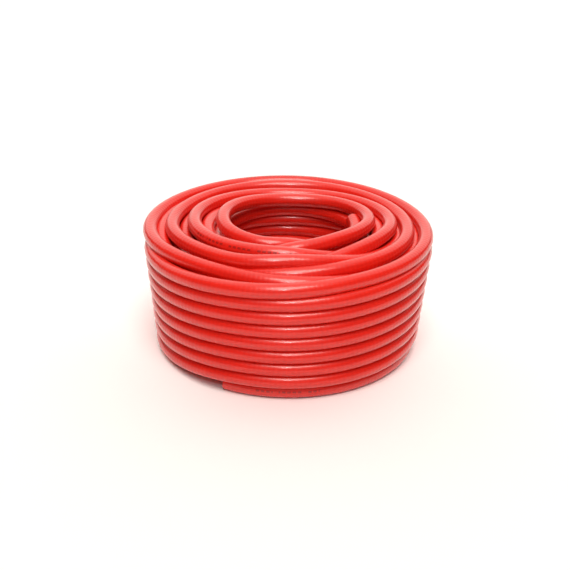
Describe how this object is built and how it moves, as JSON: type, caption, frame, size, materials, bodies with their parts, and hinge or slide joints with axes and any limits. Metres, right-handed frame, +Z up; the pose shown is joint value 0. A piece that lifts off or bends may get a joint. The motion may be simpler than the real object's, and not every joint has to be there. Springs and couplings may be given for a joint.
{
  "type": "coiled air hose",
  "caption": "Length of braid-reinforced compressed-air hose wound into a drum-shaped coil with an open eye and bare cut ends.",
  "frame": {"origin": "on the floor, at the middle of the coil's base, on the coil's axis", "axes": "+Z up along the coil's axis, -Y towards the side where the turns step up and where the outer cut end lies, +X to the right seen from that side"},
  "size_m": [0.3307, 0.3308, 0.1514],
  "materials": {
    "cover": "smooth extruded PVC with the braid showing faintly through",
    "braid": "braided polyester yarn",
    "liner": "smooth extruded PVC"
  },
  "bodies": {
    "root": {"coil": "cover", "outer_end_cover": "cover", "outer_end_braid": "braid", "outer_end_liner": "liner", "inner_end_cover": "cover", "inner_end_braid": "braid", "inner_end_liner": "liner"}
  },
  "joints": []
}
